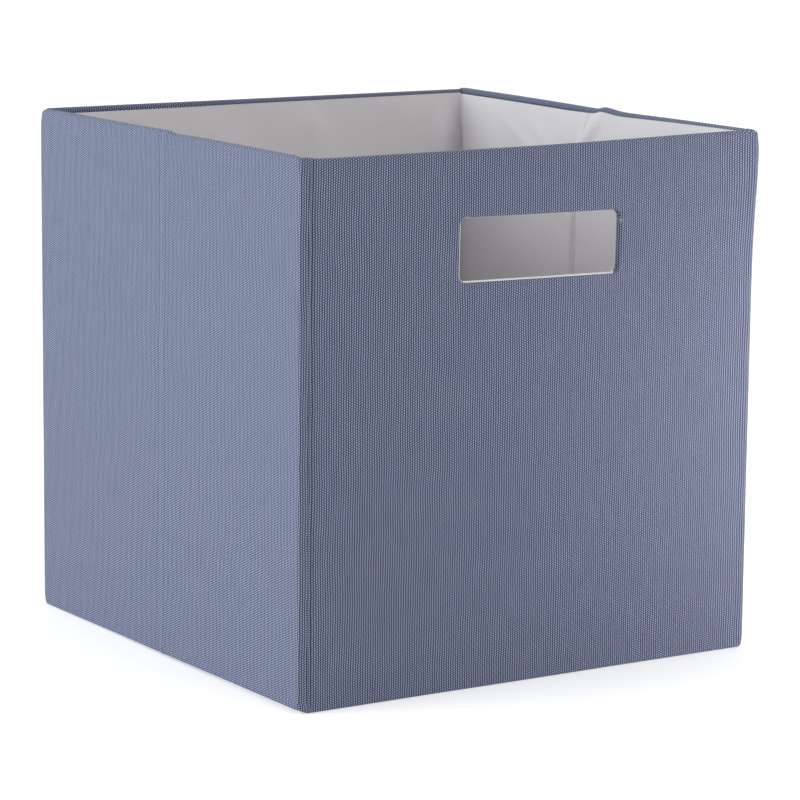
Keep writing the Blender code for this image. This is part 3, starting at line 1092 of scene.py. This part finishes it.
low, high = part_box("insert_cover")
INSERT_ROUND = 0.0012
INSERT_FLAP = 0.0180
half_x, half_y = high.x, high.y
cells = 72
xs = np.linspace(-half_x + INSERT_ROUND, half_x - INSERT_ROUND, cells)
ys = np.linspace(-half_y + INSERT_ROUND, half_y - INSERT_ROUND, cells)
points, cloth = [], []
for y in ys:
    inside = np.sqrt(np.clip(1 - (xs / half_x) ** 8, 0, 1) * max(0, 1 - (y / half_y) ** 8))
    row = np.full(cells, y)
    z = high.z - 0.0001 + 0.0003 * slow_waves(xs, row, 71, 0.12) * inside
    points.extend(np.column_stack([xs, row, z]))
    cloth.extend(np.column_stack([xs, row]))
faces = grid_faces(cells, cells)
edge = block_boundary(cells, (0, cells - 1, 0, cells - 1))
border = np.array([points[i] for i in edge])
away = np.sign(border[:, :2]) * (abs(border[:, :2]) > half_x - INSERT_ROUND - TINY)
away = away / np.linalg.norm(away, axis=1)[:, None]
rings, ring_cloth = [], []
thick = high.z - low.z
profile = [(math.sin(t), math.cos(t)) for t in np.linspace(0, math.pi, 9)[1:]]
for out, up in profile:
    z = (high.z + low.z) / 2 + up * (thick / 2 - 0.0001)
    rings.append(np.column_stack([border[:, :2] + away * INSERT_ROUND * out, np.full(len(edge), z)]))
    ring_cloth.append(border[:, :2] + away * (INSERT_ROUND * out + (1 - up) * thick / 2))
for share in (0.3, 0.65, 1.0):
    inset = away * INSERT_FLAP * share
    rings.append(np.column_stack([border[:, :2] - inset, np.full(len(edge), low.z + 0.0001)]))
    ring_cloth.append(border[:, :2] - inset)
add_rings(points, cloth, faces, edge, rings, ring_cloth, outwards=True)
insert = make_piece("insert_wrap", points, faces, cloth, lining_cloth, 0.0004)
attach(insert, "base_insert")
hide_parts("insert_cover")


# ------------ floor and light
# A white floor, a large soft light on the left and a little behind, a weaker one high in
# front, a small one low on the front right, and a white surround dimmer at the front left.


def soft_light(name, place, aim, size, power, colour, spread=180):
    data = bpy.data.lights.new(name, "AREA")
    data.shape = "SQUARE"
    data.size = size
    data.energy = power
    data.color = colour
    data.spread = math.radians(spread)
    lamp = bpy.data.objects.new(name, data)
    lamp.location = place
    lamp.rotation_euler = (Vector(aim) - Vector(place)).to_track_quat("-Z", "Y").to_euler()
    bpy.context.scene.collection.objects.link(lamp)


floor_paint, _, floor_shader = new_material("floor_white", 0.9)
floor_shader.inputs["Base Color"].default_value = (0.80, 0.80, 0.80, 1)
floor_shader.inputs["Emission Color"].default_value = (1, 1, 1, 1)
floor_shader.inputs["Emission Strength"].default_value = 0.34
floor_corners = [(-9, -9, 0), (9, -9, 0), (9, 9, 0), (-9, 9, 0)]
studio_floor = smooth_object("studio_floor", floor_corners, [(0, 1, 2, 3)], floor_paint)

DARK_SIDE = (-0.6, -0.8, 0.0)  # the studio is darker on this side
world = bpy.data.worlds.new("studio")
world.use_nodes = True
sky = world.node_tree
direction = add_node(sky, "ShaderNodeTexCoord")
facing = add_node(sky, "ShaderNodeVectorMath", operation="DOT_PRODUCT")
sky.links.new(direction.outputs["Generated"], facing.inputs[0])
facing.inputs[1].default_value = DARK_SIDE
fall = {"From_Min": 0.15, "From_Max": 0.90, "To_Min": 1.0, "To_Max": 0.38}
dimming = add_node(sky, "ShaderNodeMapRange", interpolation_type="SMOOTHSTEP", **fall)
sky.links.new(facing.outputs["Value"], dimming.inputs["Value"])
seen = sky.nodes.new("ShaderNodeLightPath").outputs["Is Camera Ray"]
strength = math_node(sky, "MAXIMUM", dimming.outputs["Result"], seen)  # the backdrop itself is white
sky.links.new(strength, sky.nodes["Background"].inputs["Strength"])
sky.nodes["Background"].inputs["Color"].default_value = (1, 1, 1, 1)
bpy.context.scene.world = world
soft_light("key_light", (-2.5, 0.42, 0.72), (0, 0, 0.22), 1.2, 50.5, (0.94, 1.0, 1.03))
soft_light("front_light", (0.4, -2.2, 1.5), (0, 0, 0.2), 1.2, 14, (1.0, 0.98, 0.97))
soft_light("fill_light", (1.10, -1.25, 0.17), (0.42, -0.165, 0.17), 0.3, 1.4, (1.0, 0.96, 0.93), 24)
bpy.context.scene.view_settings.view_transform = "Standard"


# ------------ camera
# A long lens a little above the rim, to the left of the front and tilted by half a degree. It
# looks at the middle of the bin from about 2.3 m.

camera_data = bpy.data.cameras.new("camera")
camera_data.lens = 161.07
camera_data.sensor_width = 36.0
camera = bpy.data.objects.new("camera", camera_data)
camera.location = (-1.21452, -1.91873, 0.55674)
aim = Vector((0.00965, 0.0, 0.14767)) - camera.location
level = aim.to_track_quat("-Z", "Y")
tilt = Matrix.Rotation(math.radians(0.558), 3, "Z")
camera.rotation_euler = (level.to_matrix() @ tilt).to_euler()
bpy.context.scene.collection.objects.link(camera)
bpy.context.scene.camera = camera
